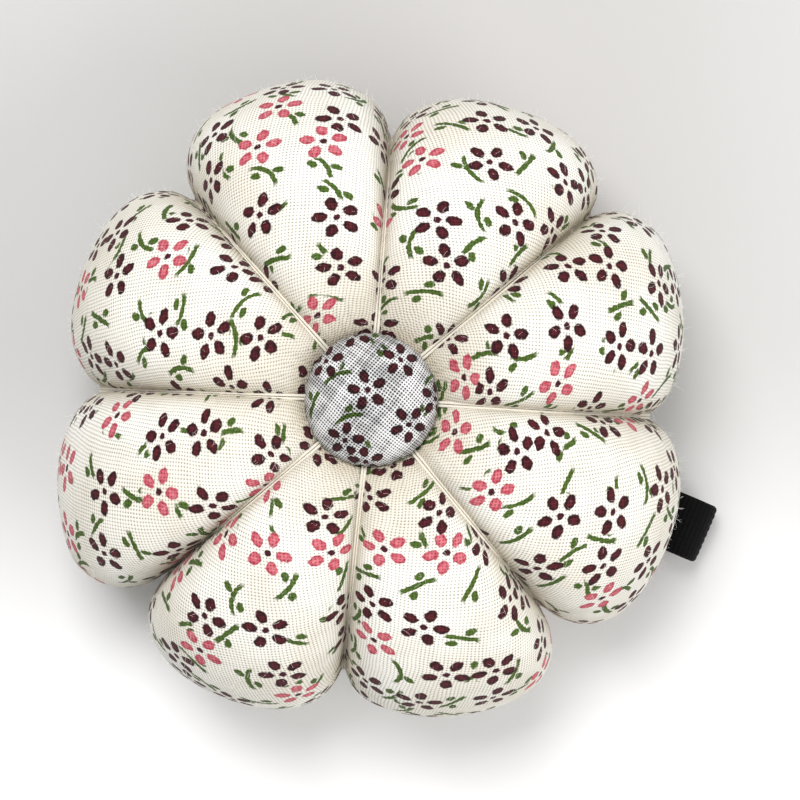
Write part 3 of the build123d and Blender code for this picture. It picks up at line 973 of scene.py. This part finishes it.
def band_route():
    """The middle of the strip round the whole loop, from the overlap over the disc back to it."""
    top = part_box("base_disc")[1][2] / MM + BAND_THICK / 2
    low = BAND_THICK / 2
    upper = low + BAND_THICK + 0.1
    back_radius = (top - low) / 2
    fold_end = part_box("band_free_end")[1][0] / MM
    fold_radius = 3.4
    fold_x = fold_end - BAND_THICK / 2 - fold_radius
    rise = 2 * fold_radius + low - upper
    rise_radius = (BAND_RISE**2 + rise**2) / (4 * rise)
    rise_turn = math.degrees(2 * math.atan(rise / BAND_RISE))
    disc_edge = 19.6
    edge_bend = 1.6
    down_run = 21.2
    foot_bend = 2.5
    route = [(0.0, top), (10.0, top), (disc_edge, top)]
    route += arc((disc_edge, top - edge_bend), edge_bend, 90, 0, 8)[1:]
    route += arc((down_run + foot_bend, upper + foot_bend), foot_bend, 180, 270, 10)
    route += [(28.0, upper)]
    rise_start = (fold_x - BAND_RISE, upper + rise_radius)
    rise_end = (fold_x, upper + rise - rise_radius)
    route += arc(rise_start, rise_radius, 270, 270 + rise_turn, 12)
    route += arc(rise_end, rise_radius, 90 + rise_turn, 90, 12)[1:]
    route += arc((fold_x, low + fold_radius), fold_radius, 90, -90, 28)[1:]
    route += [(30.0, low), (10.0, low), (-10.0, low), (-disc_edge, low)]
    route += arc((-disc_edge, low + back_radius), back_radius, 270, 90, 30)[1:]
    route += [(-10.0, top), (-0.5, top)]
    return np.array([(x, 0.0, z) for x, z in route])


def make_band(material):
    """One strip of ribbed elastic round the whole loop, with its ribs along it."""
    path = smoothed(evenly(band_route(), BAND_STEP), 3)
    forward = unit(np.gradient(path, axis=0))
    up = unit(np.cross(forward, [0, 1.0, 0]))
    path[:, 1] += BAND_DRIFT * eased((path[:, 0] - BAND_DRIFT_START) / BAND_DRIFT_LENGTH)
    across = np.linspace(-1, 1, BAND_RIB_POINTS * BAND_RIBS)
    edge = (1 - np.abs(across) ** 12) ** 0.5
    ribs = BAND_RIB_DEPTH * np.abs(np.sin((across + 1) / 2 * math.pi * BAND_RIBS))
    half = (BAND_THICK / 2 - BAND_RIB_DEPTH + ribs) * edge
    width = across * (BAND_WIDTH / 2 - 0.05)
    outline_y = np.concatenate([width, width[::-1]])
    outline_z = np.concatenate([half, -half[::-1]])
    rings = (
        path[:, None]
        + outline_y[None, :, None] * np.array([0, 1.0, 0])[None, None]
        + outline_z[None, :, None] * up[:, None]
    )
    sides = rings.shape[1]
    along = distance_along(path)
    faces = grid_faces(len(path), sides, wrap=True)
    closed = np.append(outline_y, outline_y[0])
    uv = grid_uv(np.stack(np.meshgrid(along, closed, indexing="ij"), axis=2))
    points = rings.reshape(-1, 3)
    points[:, 2] = np.maximum(points[:, 2], 0.02)
    band = make_mesh("elastic_wrist_band", points, faces, uv, material)
    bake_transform(band)
    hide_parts("band_held_run", "band_free_end")
    return band


# ---------------------------------------------------------------- the picture


def picture_axes():
    """The picture's right and its up, along the floor."""
    roll = math.radians(CAMERA_ROLL)
    right = Vector((math.cos(roll), math.sin(roll), 0))
    up = Vector((-math.sin(roll), math.cos(roll), 0))
    return right, up


def floor_material():
    """A pale floor with painted shade: greyer towards the top of the picture and at its sides,
    where the light falls off.
    """
    n = Nodes("pale_floor")
    x, y, _ = n.split(n.position())
    right, up = picture_axes()
    across = n.math("ADD", n.math("MULTIPLY", x, right.x), n.math("MULTIPLY", y, right.y))
    upward = n.math("ADD", n.math("MULTIPLY", x, up.x), n.math("MULTIPLY", y, up.y))
    # Painted shade: the floor greys towards the top of the picture, a painted fall-off of the light
    # that also darkens the floor round the cushion
    shade = n.step(upward, -45.0, 12.0)
    from_middle = n.math("ABSOLUTE", n.math("SUBTRACT", across, 12.0))
    # Painted shade at the sides of the picture
    edge = n.step(from_middle, 15.0, 60.0, 0.0, 0.4)
    grain = n.noise(n.join(x, y), 0.05, 2.0)
    color = n.mix(shade, (0.78, 0.78, 0.78), (0.44, 0.43, 0.42))
    color = n.mix(edge, color, (0.56, 0.565, 0.57))
    color = n.mix(n.math("MULTIPLY", grain, 0.03), color, (0.6, 0.6, 0.6))
    return n.finish(color, 0.9)


def make_floor():
    reach = FLOOR_SIZE
    corners = [(-reach, -reach, 0), (reach, -reach, 0), (reach, reach, 0), (-reach, reach, 0)]
    floor = make_mesh("floor", corners, [(0, 1, 2, 3)], None, floor_material())


def make_world():
    """Soft light from all sides."""
    world = bpy.data.worlds.new("soft_room")
    world.use_nodes = True
    background = world.node_tree.nodes["Background"]
    background.inputs["Color"].default_value = (1.0, 0.99, 0.975, 1.0)
    background.inputs["Strength"].default_value = 0.52
    bpy.context.scene.world = world


def make_light(name, place, power, size):
    """A square light that points at the cushion; its place is in metres."""
    light = bpy.data.lights.new(name, "AREA")
    light.energy = power
    light.size = size
    lamp = bpy.data.objects.new(name, light)
    lamp.location = place
    lamp.rotation_euler = (-place).to_track_quat("-Z", "Y").to_euler()
    bpy.context.scene.collection.objects.link(lamp)


def make_lights():
    """A key light from the top of the picture and a fill light from its lower right."""
    right, up = picture_axes()
    above = Vector((0, 0, 1))
    make_light("key_light", 0.34 * up - 0.14 * right + 0.80 * above, 7.6, 0.4)
    make_light("fill_light", -0.35 * up + 0.60 * right + 0.50 * above, 4.4, 0.6)


def make_camera():
    """A camera that looks straight down."""
    camera_data = bpy.data.cameras.new("camera")
    camera_data.lens = SENSOR_WIDTH * (CAMERA_HEIGHT - LOBE_MIDDLE) / PICTURE_WIDTH
    camera_data.sensor_width = SENSOR_WIDTH
    camera_data.shift_x = PICTURE_SHIFT
    camera_data.clip_start = 0.01
    camera_data.dof.use_dof = False
    camera = bpy.data.objects.new("camera", camera_data)
    camera.location = (0, 0, CAMERA_HEIGHT * MM)
    camera.rotation_euler = (0, 0, math.radians(CAMERA_ROLL))
    bpy.context.scene.collection.objects.link(camera)
    bpy.context.scene.camera = camera
    bpy.context.scene.view_settings.view_transform = "Standard"


def dress(nodes, names, material):
    """Gives CAD pieces that are shown as they are a better material."""
    for name in names:
        piece = nodes[name]
        piece.data.materials.clear()
        piece.data.materials.append(material)


def main():
    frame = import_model()
    make_floor()
    make_world()
    make_lights()
    make_camera()

    # In both cottons, shade is a painted shade colour for the folds, and the gap colour is painted
    # shade in the gaps between the threads
    cotton = printed_cotton(
        "printed_cotton",
        ground=(0.83, 0.815, 0.76),
        shade=(0.60, 0.53, 0.41),
        weave=(WEAVE_PITCH, 0.66, 0.14),
        gap_shade_color=(0.28, 0.26, 0.21),
        gap_shade_strength=0.85,
    )
    button_cotton = printed_cotton(
        "button_cotton",
        ground=(0.84, 0.84, 0.85),
        shade=(0.34, 0.33, 0.32),
        weave=(BUTTON_WEAVE_PITCH, 1.08, 0.22),
        gap_shade_color=(0.025, 0.023, 0.025),
        gap_shade_strength=1.0,
    )
    thread = thread_material("cream_thread", (0.78, 0.74, 0.65), (0.44, 0.38, 0.28))
    hidden_thread = plain_thread("plain_cream_thread", (0.84, 0.78, 0.65), (0.55, 0.47, 0.33))
    fibre = plain_thread("cotton_fibre", (0.90, 0.89, 0.86), (0.78, 0.76, 0.71))
    black_thread = plain_thread("black_thread", (0.03, 0.03, 0.032), (0.008, 0.008, 0.008))
    elastic = elastic_material()
    metal = metal_material()

    grid = make_cover(cotton)
    for number in range(1, len(LOBES) + 1):
        make_cord(number, grid, thread)
    make_fuzz(grid, fibre)
    make_button(button_cotton)
    make_band(elastic)

    nodes = frame["nodes"]
    dress(nodes, ("tie_thread", "gather_thread", "whip_stitches"), hidden_thread)
    dress(nodes, ("band_stitches",), black_thread)
    dress(nodes, ("button_shell", "button_back_plate", "button_wire_loop"), metal)
    dress(nodes, ("base_disc",), plastic_material())
    dress(nodes, ("base_felt",), felt_material())


main()
